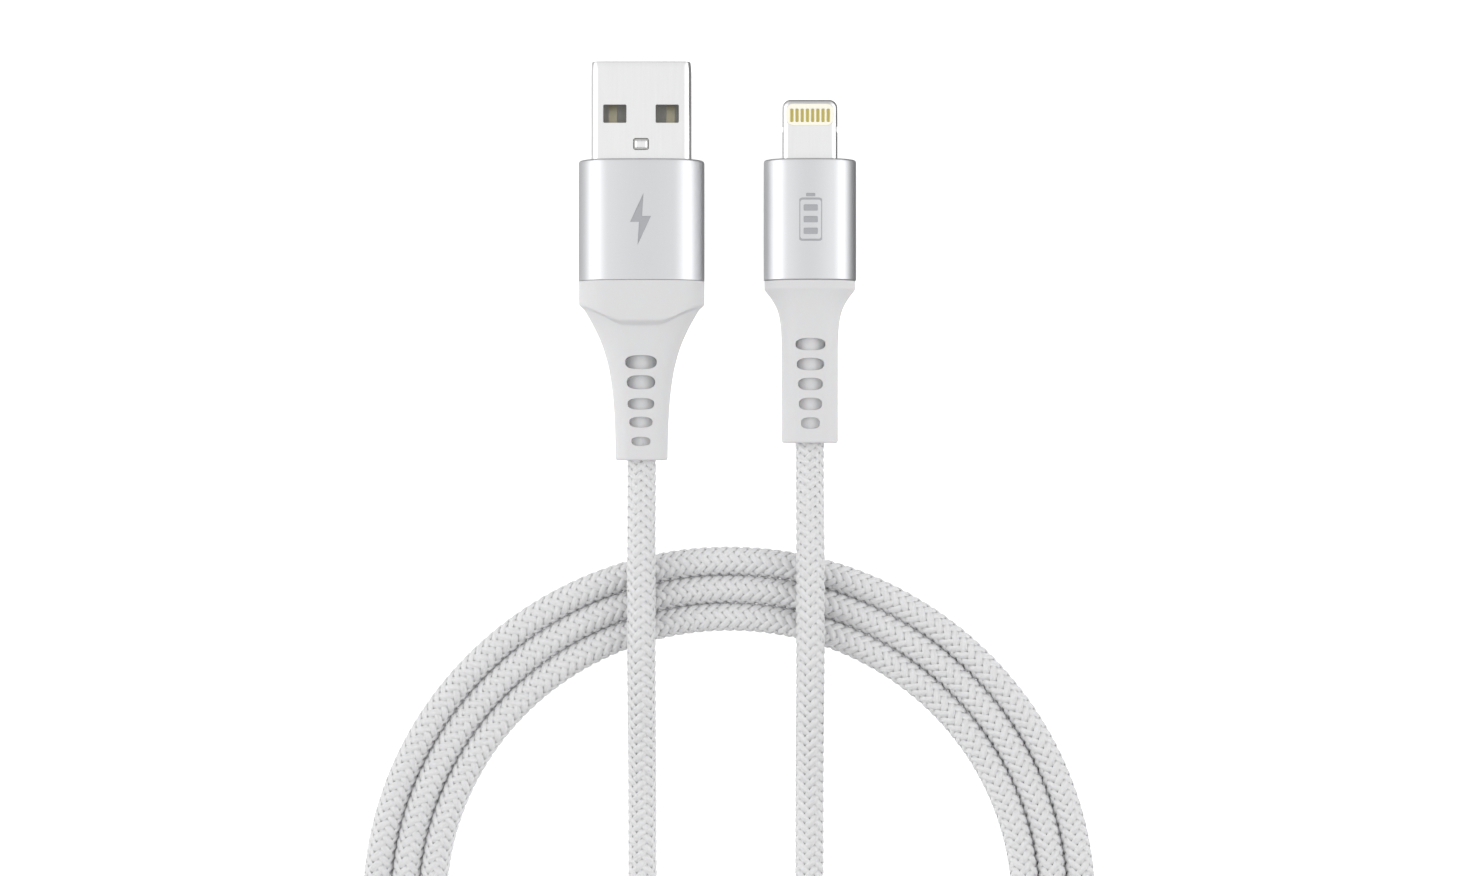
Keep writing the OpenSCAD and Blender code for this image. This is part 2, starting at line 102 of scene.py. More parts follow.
@dataclass(frozen=True)
class Finish:
    """A plain finish: one colour, its gloss, and the fine grain that its making left.

    The grain is a noise of real size, which lifts the surface a little and breaks up its gloss and shade.
    """

    name: str
    colour: str
    roughness: float
    ior: float = 1.5
    metallic: float = 0.0
    grain: float = 0.12
    relief: float = 0.004
    gloss_change: float = 0.08
    shade_change: float = 0.03
    coat: float = 0.0
    subsurface: float = 0.0

    def build(self) -> bpy.types.Material:
        """Make the material, or return it if it has been made; no CAD material has its name."""
        done = bpy.data.materials.get(self.name)
        if done:
            return done
        material = bpy.data.materials.new(self.name)
        material.use_nodes = True
        material.diffuse_color = linear(self.colour)
        tree = material.node_tree
        shader = tree.nodes["Principled BSDF"]
        shader.inputs["Metallic"].default_value = self.metallic
        shader.inputs["IOR"].default_value = self.ior
        shader.inputs["Coat Weight"].default_value = self.coat
        shader.inputs["Coat Roughness"].default_value = 0.2
        shader.inputs["Subsurface Weight"].default_value = self.subsurface
        shader.inputs["Subsurface Scale"].default_value = 0.5 * MM
        height = self.grain_height(tree)
        self.dress(tree, shader, height)
        return material

    def grain_height(self, tree: bpy.types.NodeTree) -> bpy.types.NodeSocket:
        """The grain as a height from 0 to 1, in the piece's own coordinates."""
        place = add_node(tree, "ShaderNodeTexCoord").outputs["Object"]
        noise = add_node(
            tree, "ShaderNodeTexNoise", {"Vector": place, "Scale": 1 / (self.grain * MM), "Detail": 3.0}
        )
        return noise.outputs["Fac"]

    def dress(self, tree: bpy.types.NodeTree, shader: bpy.types.Node, height: bpy.types.NodeSocket) -> None:
        """Set the shader's colour, gloss and bump from a height.

        Args:
            tree: the material's tree.
            shader: its Principled shader.
            height: the surface's height, from 0 to 1.
        """
        gloss = add_node(
            tree,
            "ShaderNodeMapRange",
            {"Value": height, "To Min": self.roughness, "To Max": self.roughness + self.gloss_change},
        )
        shade = add_node(tree, "ShaderNodeMix", {0: height, 6: self.tone(1 - self.shade_change),
                                                 7: self.tone(1 + self.shade_change)}, data_type="RGBA")
        bump = add_node(tree, "ShaderNodeBump", {"Height": height, "Distance": self.relief * MM})
        tree.links.new(gloss.outputs["Result"], shader.inputs["Roughness"])
        tree.links.new(shade.outputs[2], shader.inputs["Base Color"])
        tree.links.new(bump.outputs["Normal"], shader.inputs["Normal"])

    def tone(self, share: float) -> tuple[float, float, float, float]:
        """The finish's linear colour, made lighter or darker by a share."""
        red, green, blue, alpha = linear(self.colour)
        return min(red * share, 1), min(green * share, 1), min(blue * share, 1), alpha


@dataclass(frozen=True)
class RolledSheet(Finish):
    """Plated sheet metal: rolling left faint lines along the strip, which the plating softened."""

    metallic: float = 1.0
    line: float = 0.18
    across: float = 30.0

    def grain_height(self, tree: bpy.types.NodeTree) -> bpy.types.NodeSocket:
        """Fine lines along Y, as a height from 0 to 1."""
        place = add_node(tree, "ShaderNodeTexCoord").outputs["Object"]
        drawn = add_node(tree, "ShaderNodeMapping", {"Vector": place, "Scale": (1, 1 / self.across, 1)})
        noise = add_node(
            tree,
            "ShaderNodeTexNoise",
            {"Vector": drawn.outputs["Vector"], "Scale": 1 / (self.line * MM), "Detail": 4.0},
        )
        return noise.outputs["Fac"]


@dataclass(frozen=True)
class YarnFinish(Finish):
    """Filament yarn: many fine threads along each yarn, which split its gloss into streaks."""

    threads: float = 7.0
    patch: float = 2.2

    def grain_height(self, tree: bpy.types.NodeTree) -> bpy.types.NodeSocket:
        """Threads side by side over the yarn's width, wandering a little along it."""
        along = add_node(tree, "ShaderNodeUVMap", uv_map="YarnWay").outputs["UV"]
        drift = add_node(tree, "ShaderNodeTexNoise", {"Vector": along, "Scale": self.patch, "Detail": 2.0})
        bent = add_node(
            tree,
            "ShaderNodeVectorMath",
            {0: along, 1: drift.outputs["Color"]},
            operation="ADD",
        )
        threads = add_node(
            tree,
            "ShaderNodeTexWave",
            {"Vector": bent.outputs["Vector"], "Scale": self.threads / 2, "Distortion": 0.6, "Detail": 1.0},
            bands_direction="X",
        )
        return threads.outputs["Fac"]


# Silver anodising over fine bead blasting: a pale satin metal, its reflections spread wide by tiny pits.
# The pits are about 0.05 mm; they are drawn at 0.09 mm, as coarse as they need to be to show.
ALUMINIUM = Finish("bead_blasted_anodised_aluminium", "#DADBDD", 0.40, metallic=1.0, grain=0.09,
                   relief=0.0030, gloss_change=0.10, shade_change=0.04)
# A laser burns the anodising off to a matt mid grey.
ETCHED = Finish("laser_etched_aluminium", "#B4B5B8", 0.60, metallic=0.8, grain=0.08, relief=0.006)
# Nickel plate on rolled spring steel: bright, nearly white, with soft reflections.
NICKEL = RolledSheet("nickel_plated_rolled_steel", "#FBFBFB", 0.27, relief=0.0012, gloss_change=0.08,
                     shade_change=0.02)
# Tin over thin drawn steel: duller and greyer than nickel.
TIN = RolledSheet("tinned_drawn_steel", "#B9BABB", 0.34, line=0.25, relief=0.002)
# Hard gold over nickel, on stamped contacts: warm yellow and fairly glossy.
GOLD = RolledSheet("gold_plated_stamped_copper", "#C6B870", 0.30, line=0.1, relief=0.0015, shade_change=0.06)
# A thin flash of gold over nickel on the strips, painted paler and duller as shade where the tongue shades
# it.
GOLD_FLASH_WITH_PAINTED_SHADE = RolledSheet("gold_flash_with_painted_shade", "#B3AE98", 0.40, line=0.1, relief=0.0015,
                         shade_change=0.06)
# Drawn brass, crimped: yellow-brown, its gloss dulled by the press.
BRASS = RolledSheet("drawn_crimped_brass", "#BFA05C", 0.36, line=0.2, relief=0.003)
# Glass-filled nylon, moulded: satin light grey.
INSULATOR = Finish("moulded_glass_filled_nylon", "#A9A8A4", 0.48, grain=0.2, relief=0.004)
# Liquid-crystal polymer, moulded and ground flush: clean white, a little glossy.
CARRIER = Finish("moulded_ground_polymer", "#F8F5E6", 0.34, grain=0.15, relief=0.001, shade_change=0.01)
# Thermoplastic rubber from a spark-eroded mould: pale, soft-edged gloss over a fine even grain.
RUBBER = Finish("moulded_thermoplastic_rubber", "#D6D6D7", 0.46, grain=0.11, relief=0.0035,
                shade_change=0.015, subsurface=0.12)
# Low-pressure moulding: milky, smooth and waxy.
MOULD = Finish("low_pressure_moulded_polyethylene", "#E4E2DA", 0.42, grain=0.6, relief=0.01, subsurface=0.2)
# Extruded PVC over the wires: glossy, with the die's faint lines.
RED_WIRE = Finish("extruded_red_pvc", "#B5211B", 0.33, grain=0.3, relief=0.004)
WHITE_WIRE = Finish("extruded_white_pvc", "#ECEBE6", 0.33, grain=0.3, relief=0.004)
GREEN_WIRE = Finish("extruded_green_pvc", "#2C8A4A", 0.33, grain=0.3, relief=0.004)
BLACK_WIRE = Finish("extruded_black_pvc", "#252525", 0.33, grain=0.3, relief=0.004)
# Green solder mask over glass cloth: a clear gloss over the cloth's faint print.
BOARD = Finish("solder_masked_glass_epoxy", "#12512B", 0.28, grain=0.35, relief=0.006, shade_change=0.12,
               coat=0.3)
# Epoxy moulding compound: nearly black, finely matt.
CHIP = Finish("moulded_epoxy_compound", "#2B2B2C", 0.58, grain=0.07, relief=0.004)
# Fired ceramic: matt tan.
CERAMIC = Finish("fired_ceramic", "#9C8462", 0.52, grain=0.09, relief=0.003)
# Bright polyester filament yarn: white, with streaks of gloss along each yarn. Its filaments are about
# 0.02 mm; seven threads are drawn over a yarn's width, as fine as can show.
YARN = YarnFinish("braided_polyester_yarn", "#E0E0E1", 0.32, relief=0.010, gloss_change=0.16,
                   shade_change=0.05)
# The cord's extruded jacket, seen only in the gaps of the braid; its dark grey is painted shade in those
# gaps.
JACKET_WITH_PAINTED_GAP_SHADE = Finish("cord_jacket_with_painted_gap_shade", "#8F8F92", 0.55, grain=0.2, relief=0.004)
# The pale table: smooth laminate, lit until it is all but white.
TABLE_TOP = Finish("pressed_table_laminate", "#FAFAFA", 0.62, grain=1.5, relief=0.004, shade_change=0.004)

INNER_FINISHES: dict[str, Finish] = {
    "charger_insulator": INSULATOR,
    # The contact strips take the gold with painted shade: duller, for the tongue's shade over them.
    "charger_power_contacts": GOLD_FLASH_WITH_PAINTED_SHADE,
    "charger_data_contacts": GOLD_FLASH_WITH_PAINTED_SHADE,
    "charger_supply_wire": RED_WIRE,
    "charger_data_minus_wire": WHITE_WIRE,
    "charger_data_plus_wire": GREEN_WIRE,
    "charger_ground_wire": BLACK_WIRE,
    "charger_ferrule": BRASS,
    "charger_inner_mould": MOULD,
    "phone_circuit_board": BOARD,
    "phone_control_chip": CHIP,
    "phone_small_chips": CERAMIC,
    "phone_shield_top": TIN,
    "phone_shield_bottom": TIN,
    "phone_supply_wire": RED_WIRE,
    "phone_data_minus_wire": WHITE_WIRE,
    "phone_data_plus_wire": GREEN_WIRE,
    "phone_ground_wire": BLACK_WIRE,
    "phone_ferrule": BRASS,
    "phone_inner_mould": MOULD,
}


# ------------------------------------------------------------------ meshes


def make_piece(
    name: str, points: np.ndarray, faces: Sequence, *finishes: Finish, closed: bool = True
) -> bpy.types.Object:
    """Make an object from points in millimetres.

    Args:
        name: the object's name.
        points: its points, one row each.
        faces: the points of each face, by number.
        finishes: its materials, the first of which every face starts with.
        closed: whether it is a closed solid, whose faces are then turned outwards.

    Returns:
        The new object.
    """
    mesh = bpy.data.meshes.new(name)
    mesh.from_pydata((np.asarray(points, float).reshape(-1, 3) * MM).tolist(), [], [list(f) for f in faces])
    if closed:
        work = bmesh.new()
        work.from_mesh(mesh)
        bmesh.ops.recalc_face_normals(work, faces=work.faces)
        work.to_mesh(mesh)
        work.free()
    for finish in finishes:
        mesh.materials.append(finish.build())
    piece = bpy.data.objects.new(name, mesh)
    bpy.context.scene.collection.objects.link(piece)
    return piece


def settle(piece: bpy.types.Object, *nodes: str, slot: Optional[str] = None) -> bpy.types.Object:
    """Finish a piece's shading, hang it on the root body and hide the CAD nodes that it replaces.

    Args:
        piece: the piece.
        nodes: the CAD nodes that it replaces.
        slot: the record's material slot; not used.

    Returns:
        The piece.
    """
    mesh = piece.data
    mesh.shade_smooth()
    mesh.set_sharp_from_angle(angle=SHARP_ANGLE)
    even = piece.modifiers.new("even_shading", "WEIGHTED_NORMAL")
    even.keep_sharp = True
    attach(piece, "root")
    if nodes:
        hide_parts(*nodes)
    LOG.info("%s: %d faces", piece.name, len(mesh.polygons))
    return piece


def carve(body: bpy.types.Object, *tools: bpy.types.Object, join: bool = False) -> None:
    """Cut tools out of a body, or join them to it, and remove them.

    Args:
        body: the object that changes.
        tools: the solids that cut or join it.
        join: whether they are joined to it.
    """
    for tool in tools:
        step = body.modifiers.new("carve", "BOOLEAN")
        step.operation = "UNION" if join else "DIFFERENCE"
        step.solver = "EXACT"
        step.object = tool
        ready = bpy.context.evaluated_depsgraph_get()
        carved = bpy.data.meshes.new_from_object(body.evaluated_get(ready))
        body.modifiers.clear()
        body.data = carved
        bpy.data.objects.remove(tool)


def ring_faces(rows: int, count: int, loop: bool) -> list[tuple[int, int, int, int]]:
    """Faces between rows of points that each go all the way round.

    Args:
        rows: how many rows.
        count: how many points in each.
        loop: whether the last row joins the first.

    Returns:
        The faces.
    """
    last = rows if loop else rows - 1
    return [
        (i * count + k, i * count + (k + 1) % count,
         (i + 1) % rows * count + (k + 1) % count, (i + 1) % rows * count + k)
        for i in range(last)
        for k in range(count)
    ]


def round_rect(width: float, height: float, corner: float, arc: int = 10, flat: int = 8) -> np.ndarray:
    """A rectangle with round corners, starting right of its lower middle and going anticlockwise.

    Args:
        width: its size along the first axis.
        height: its size along the second.
        corner: its corners' radius.
        arc: steps in each corner.
        flat: steps in each straight side.

    Returns:
        Its points, always as many for the same steps.
    """
    points = []
    corner = min(corner, width / 2, height / 2)
    for turn, (sx, sy) in enumerate(((1, -1), (1, 1), (-1, 1), (-1, -1))):
        middle = np.array([sx * (width / 2 - corner), sy * (height / 2 - corner)])
        for step in range(arc + 1):
            angle = math.radians(90 * (turn - 1) + 90 * step / arc)
            points.append(middle + corner * np.array([math.cos(angle), math.sin(angle)]))
        here = points[-1]
        sx, sy = ((1, 1), (-1, 1), (-1, -1), (1, -1))[turn]
        there = np.array([sx * (width / 2 - corner), sy * (height / 2 - corner)])
        there = there + corner * np.array([math.cos(angle), math.sin(angle)])
        points += [here + (there - here) * k / flat for k in range(1, flat)]
    return np.array(points)


def pad_plan(width: float, height: float, corner: float, x: float, y: float, arc: int = 6) -> Plan:
    """A rounded rectangle in plan, which can be drawn in by an inset.

    Args:
        width: its size along X.
        height: its size along Y.
        corner: its corners' radius.
        x: its middle along X.
        y: its middle along Y.
        arc: steps in each corner.

    Returns:
        A function from the inset to the outline.
    """
    def plan(inset: float) -> np.ndarray:
        """The outline at one inset."""
        outline = round_rect(width - 2 * inset, height - 2 * inset, max(corner - inset, 0.01), arc, 2)
        return outline + np.array([x, y])

    return plan


def oval_plan(width: float, height: float, power: float, x: float, y: float, count: int = 48) -> Plan:
    """A full oval in plan, between an ellipse and a rounded rectangle.

    Args:
        width: its size along X.
        height: its size along Y.
        power: 2 for an ellipse, and more for fuller corners.
        x: its middle along X.
        y: its middle along Y.
        count: how many points it has.

    Returns:
        A function from the inset to the outline.
    """
    def plan(inset: float) -> np.ndarray:
        """The outline at one inset."""
        turn = 2 * math.pi * np.arange(count) / count
        wave = np.column_stack([np.cos(turn), np.sin(turn)])
        full = np.sign(wave) * np.abs(wave) ** (2 / power)
        return full * [width / 2 - inset, height / 2 - inset] + np.array([x, y])

    return plan


def fixed_plan(outline: Sequence, x: float = 0.0, y: float = 0.0) -> Plan:
    """A plan of given points, which stays as it is under any inset."""
    points = np.array(outline, float) + np.array([x, y])
    return lambda inset: points


def plate(
    name: str, plan: Plan, low: float, high: float, *finishes: Finish, edge: float = 0.0
) -> bpy.types.Object:
    """A plate drawn in plan and raised along Z, with rounded edges if asked.

    Args:
        name: the object's name.
        plan: its outline for each inset.
        low: where it starts along Z.
        high: where it ends.
        finishes: its materials.
        edge: the radius of its upper and lower edges.

    Returns:
        The plate.
    """
    turns = np.linspace(0, math.pi / 2, 6) if edge else [math.pi / 2]
    rows = [(edge * (1 - math.sin(a)), low + edge * (1 - math.cos(a))) for a in turns]
    rows += [(inset, high + low - z) for inset, z in reversed(rows)]
    rings = np.array([[(px, py, z) for px, py in plan(inset)] for inset, z in rows])
    count = rings.shape[1]
    faces: list = ring_faces(len(rings), count, loop=False)
    faces.append(range(count))
    faces.append(range((len(rings) - 1) * count, len(rings) * count))
    return make_piece(name, rings, faces, *finishes)


def sleeve(
    name: str, rows: Sequence[tuple[float, np.ndarray]], x: float, z: float, *finishes: Finish
) -> bpy.types.Object:
    """A tube-like solid through sections, its last section joined back to its first.

    Args:
        name: the object's name.
        rows: the place along Y and the section in X and Z of each row, outside first and inside last.
        x: where the sections' middle lies along X.
        z: where it lies along Z.
        finishes: its materials.

    Returns:
        The solid.
    """
    rings = np.array([[(px + x, y, pz + z) for px, pz in section] for y, section in rows])
    return make_piece(name, rings, ring_faces(len(rings), rings.shape[1], loop=True), *finishes)


# ------------------------------------------------------------------ the cord


@dataclass
class Route:
    """A smooth line through points, in steps of one length."""

    points: Sequence[tuple[float, float, float]]
    step: float

    def line(self) -> np.ndarray:
        """The line's points, a step apart along it, on a natural cubic spline."""
        given = np.array(self.points, float)
        way = np.concatenate([[0], np.cumsum(np.linalg.norm(np.diff(given, axis=0), axis=1))])
        gaps = np.diff(way)
        count = len(given)
        system = np.eye(count)
        right = np.zeros((count, 3))
        slopes = np.diff(given, axis=0) / gaps[:, None]
        for i in range(1, count - 1):
            system[i, i - 1 : i + 2] = gaps[i - 1], 2 * (gaps[i - 1] + gaps[i]), gaps[i]
            right[i] = 6 * (slopes[i] - slopes[i - 1])
        bend = np.linalg.solve(system, right)
        fine = np.linspace(0, way[-1], int(way[-1] / self.step) * 4)
        k = np.clip(np.searchsorted(way, fine, side="right") - 1, 0, count - 2)
        h, a, b = gaps[k][:, None], (way[k + 1] - fine)[:, None], (fine - way[k])[:, None]
        curve = (bend[k] * a**3 + bend[k + 1] * b**3) / (6 * h)
        curve += (given[k] / h - bend[k] * h / 6) * a + (given[k + 1] / h - bend[k + 1] * h / 6) * b
        run = np.concatenate([[0], np.cumsum(np.linalg.norm(np.diff(curve, axis=0), axis=1))])
        even = np.linspace(0, run[-1], round(run[-1] / self.step) + 1)
        return np.stack([np.interp(even, run, curve[:, axis]) for axis in range(3)], axis=1)

    @staticmethod
    def axes(line: np.ndarray) -> tuple[np.ndarray, np.ndarray]:
        """Two directions square to a line, which turn no more than it does.

        Args:
            line: the line's points.

        Returns:
            The first and the second direction at each point.
        """
        ahead = np.gradient(line, axis=0)
        ahead /= np.linalg.norm(ahead, axis=1)[:, None]
        first = np.empty_like(line)
        up = np.array([0.0, 0.0, 1.0])
        for i, direction in enumerate(ahead):
            up = up - direction * (up @ direction)
            up /= np.linalg.norm(up)
            first[i] = up
        return first, np.cross(ahead, first)


@dataclass
class BraidedCord:
    """The cord from plug to plug: a jacket under sixteen woven yarns, coiled on the table.

    Eight yarns wind each way. Each goes over two of the others and under the next two, which draws
    slanting stitches in columns along the cord.
    """

    diameter: float = 3.4
    outside: float = 1.77
    jacket_r: float = 1.45
    jacket_sides: int = 16
    yarns_each_way: int = 8
    lay: float = 10.0
    yarn_fill: float = 0.96
    yarn_rise: float = 0.13
    dive: float = 0.11
    steps_per_crossing: int = 2
    across: tuple[float, ...] = (-1.0, -0.55, 0.0, 0.55, 1.0)
    charger_x: float = -9.2
    phone_x: float = 11.2
    charger_z: float = 3.8
    phone_z: float = 3.1
    coil_x: float = 1.4
    coil_y: float = -78.55
    coil_r: float = 36.2
    coil_oval: float = 0.974
    coil_start: float = 322.7
    coil_end: float = 1291.8
    cross_over: tuple[float, float] = (585.0, 675.0)
    cord_length: float = 0.97

    @property
    def step(self) -> float:
        """The distance between rows of the mesh, along the cord."""
        return self.lay / (2 * self.yarns_each_way * self.steps_per_crossing)

    def route_from_charger(self) -> list[tuple[float, float, float]]:
        """From the charger plug's ferrule, out of its boot, over the coil and down inside it."""
        x, z = self.charger_x, self.charger_z
        return [
            (x, 1.4, z), (x, -6, z), (x, -14, z), (x, -21, z), (x, -25.5, z), (x, -30, 4.4), (x, -35, 5.1),
            (x, -41, 5.2), (x, -47, 5.1), (x, -52.5, 4.4), (x, -58, 3.1), (x, -64, 2.0), (x, -71, 1.7),
            (x, -79, 1.7), (x, -87.6, 1.7), (-7.9, -95.1, 1.7), (-4.1, -101.7, 1.7), (1.8, -106.7, 1.7),
            (9, -109.3, 1.7), (16.6, -109.3, 1.7), (23.8, -106.7, 1.7),
        ]

    def route_round_coil(self) -> list[tuple[float, float, float]]:
        """Three turns side by side; the cord steps out to the next one where the near side is hidden."""
        points = []
        turned = self.coil_start
        first, last = self.cross_over
        while turned <= self.coil_end:
            out = 0.0
            for turn in range(2):
                share = min(max((turned - first - 360 * turn) / (last - first), 0), 1)
                out += self.diameter * share * share * (3 - 2 * share)
            rise = min(max((turned - self.coil_end + 22) / 22, 0), 1)
            angle, radius = math.radians(turned), self.coil_r + out
            flatter = radius - self.coil_r * (1 - self.coil_oval)
            points.append((self.coil_x + radius * math.cos(angle), self.coil_y + flatter * math.sin(angle),
                           self.diameter / 2 + 0.2 * rise * rise))
            turned += 7.57
        return points

    def route_to_phone(self) -> list[tuple[float, float, float]]:
        """From the coil's outer turn, up over the coil and into the phone plug's boot."""
        x, z = self.phone_x, self.phone_z
        return [
            (-31.2, -106.5, 3.1), (-25.9, -110.4, 4.5), (-19, -113, 5.1), (-11.6, -113.4, 5.2),
            (-4.4, -111.7, 5.2), (1.9, -107.9, 5.2), (6.9, -102.5, 4.9), (10.1, -95.8, 3.7), (x, -88.5, 2.3),
            (x, -81, 1.7), (x, -72, 1.7), (x, -64, 2.0), (x, -58, 3.1), (x, -52.5, 4.4), (x, -47, 5.1),
            (x, -41, 5.2), (x, -35, 5.1), (x, -29.5, 4.1), (x, -24.5, z), (x, -20, z), (x, -14, z),
            (x, -7, z), (x, 0.2, z),
        ]

    def yarn(self, number: int, hand: int, way: np.ndarray) -> tuple[np.ndarray, np.ndarray, np.ndarray]:
        """One yarn's course round the cord.

        Args:
            number: which yarn of its hand it is.
            hand: 1 where it winds anticlockwise along the cord, and -1 where it winds clockwise.
            way: the places along the cord.

        Returns:
            Its angle and its radius for each place and each point over its width, and its way in UV.
        """
        turns = number / self.yarns_each_way + hand * way / self.lay
        crossings = 2 * self.yarns_each_way * way / self.lay
        column = 2 * number + hand * crossings
        middle = 0.5 if hand > 0 else 2.5
        beat = (column - middle) / 4 % 1
        weave = np.clip(3.2 * np.cos(2 * math.pi * beat), -1, 1)
        over = np.array(self.across)
        half = math.pi / self.yarns_each_way * self.yarn_fill
        angle = 2 * math.pi * turns[:, None] + half * over[None, :]
        crown = np.sqrt(np.clip(1 - over**2, 0, 1))
        low = self.outside - self.yarn_rise - self.dive
        radius = low + self.dive * weave[:, None] + self.yarn_rise * crown[None, :]
        strand = number + (0 if hand > 0 else self.yarns_each_way)
        uv = np.stack(
            [np.broadcast_to(over / 2 + 0.5 + 3.7 * strand, radius.shape),
             np.broadcast_to(way[:, None], radius.shape)], axis=2)
        return angle, radius, uv

    def build(self) -> bpy.types.Object:
        points = self.route_from_charger() + self.route_round_coil() + self.route_to_phone()
        line = Route(points, self.step).line()
        first, second = Route.axes(line)
        way = np.arange(len(line)) * self.step
        rows, width = len(line), len(self.across)
        verts, quads, ways = [], [], []
        row = np.arange(rows - 1)[:, None] * width + np.arange(width - 1)[None, :]
        patch = np.stack([row, row + 1, row + width + 1, row + width], axis=2).reshape(-1, 4)
        for hand in (1, -1):
            for number in range(self.yarns_each_way):
                angle, radius, uv = self.yarn(number, hand, way)
                spoke = (np.cos(angle)[..., None] * first[:, None]
                         + np.sin(angle)[..., None] * second[:, None])
                quads.append(patch + len(verts) * rows * width)
                verts.append((line[:, None] + radius[..., None] * spoke).reshape(-1, 3))
                ways.append(uv.reshape(-1, 2))
        yarn_points = sum(len(v) for v in verts)
        core_rows = np.arange(0, rows, 4)
        spin = 2 * math.pi * np.arange(self.jacket_sides) / self.jacket_sides
        spoke = (np.cos(spin)[None, :, None] * first[core_rows, None]
                 + np.sin(spin)[None, :, None] * second[core_rows, None])
        core = line[core_rows, None] + self.jacket_r * spoke
        core_quads = np.array(ring_faces(len(core_rows), self.jacket_sides, loop=False)) + yarn_points
        piece = self.mesh(
            np.concatenate(verts + [core.reshape(-1, 3)]),
            np.concatenate(quads + [core_quads]),
            np.concatenate(ways + [np.zeros((core.shape[0] * core.shape[1], 2))]),
            yarn_faces=sum(len(q) for q in quads),
        )
        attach(piece, "root")
        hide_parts("cord_charger_lead", "cord_coil", "cord_phone_lead")
        length = (rows - 1) * self.step * MM
        LOG.info("%s: %d faces, %.3f m of cord", piece.name, len(piece.data.polygons), length)
        return piece

    @staticmethod
    def mesh(points: np.ndarray, quads: np.ndarray, ways: np.ndarray, yarn_faces: int) -> bpy.types.Object:
        """Make the cord's object.

        Args:
            points: its points in millimetres, the yarns' first.
            quads: its faces, the yarns' first.
            ways: each point's place over and along its yarn.
            yarn_faces: how many of the faces are yarn; the rest are jacket.

        Returns:
            The object, with the yarns' own UV map.
        """
        data = bpy.data.meshes.new("braided_cord")
        data.from_pydata((points * MM).tolist(), [], quads.tolist())
        # The jacket's dark grey is painted shade, which darkens the gaps between the yarns.
        for finish in (YARN, JACKET_WITH_PAINTED_GAP_SHADE):
            data.materials.append(finish.build())
        kinds = np.zeros(len(quads), np.int32)
        kinds[yarn_faces:] = 1
        data.polygons.foreach_set("material_index", kinds)
        data.shade_smooth()
        corners = np.empty(len(data.loops), np.int32)
        data.loops.foreach_get("vertex_index", corners)
        layer = data.uv_layers.new(name="YarnWay")
        layer.data.foreach_set("uv", ways[corners].astype(np.float32).ravel())
        piece = bpy.data.objects.new("braided_cord", data)
        bpy.context.scene.collection.objects.link(piece)
        return piece


# ------------------------------------------------------------------ boots


class Collar(Enum):
    """How a boot passes from the housing's section to its slim neck."""

    STEPPED = "a thick collar whose rear edge stands proud of the neck"
    BLENDED = "one smooth fall"


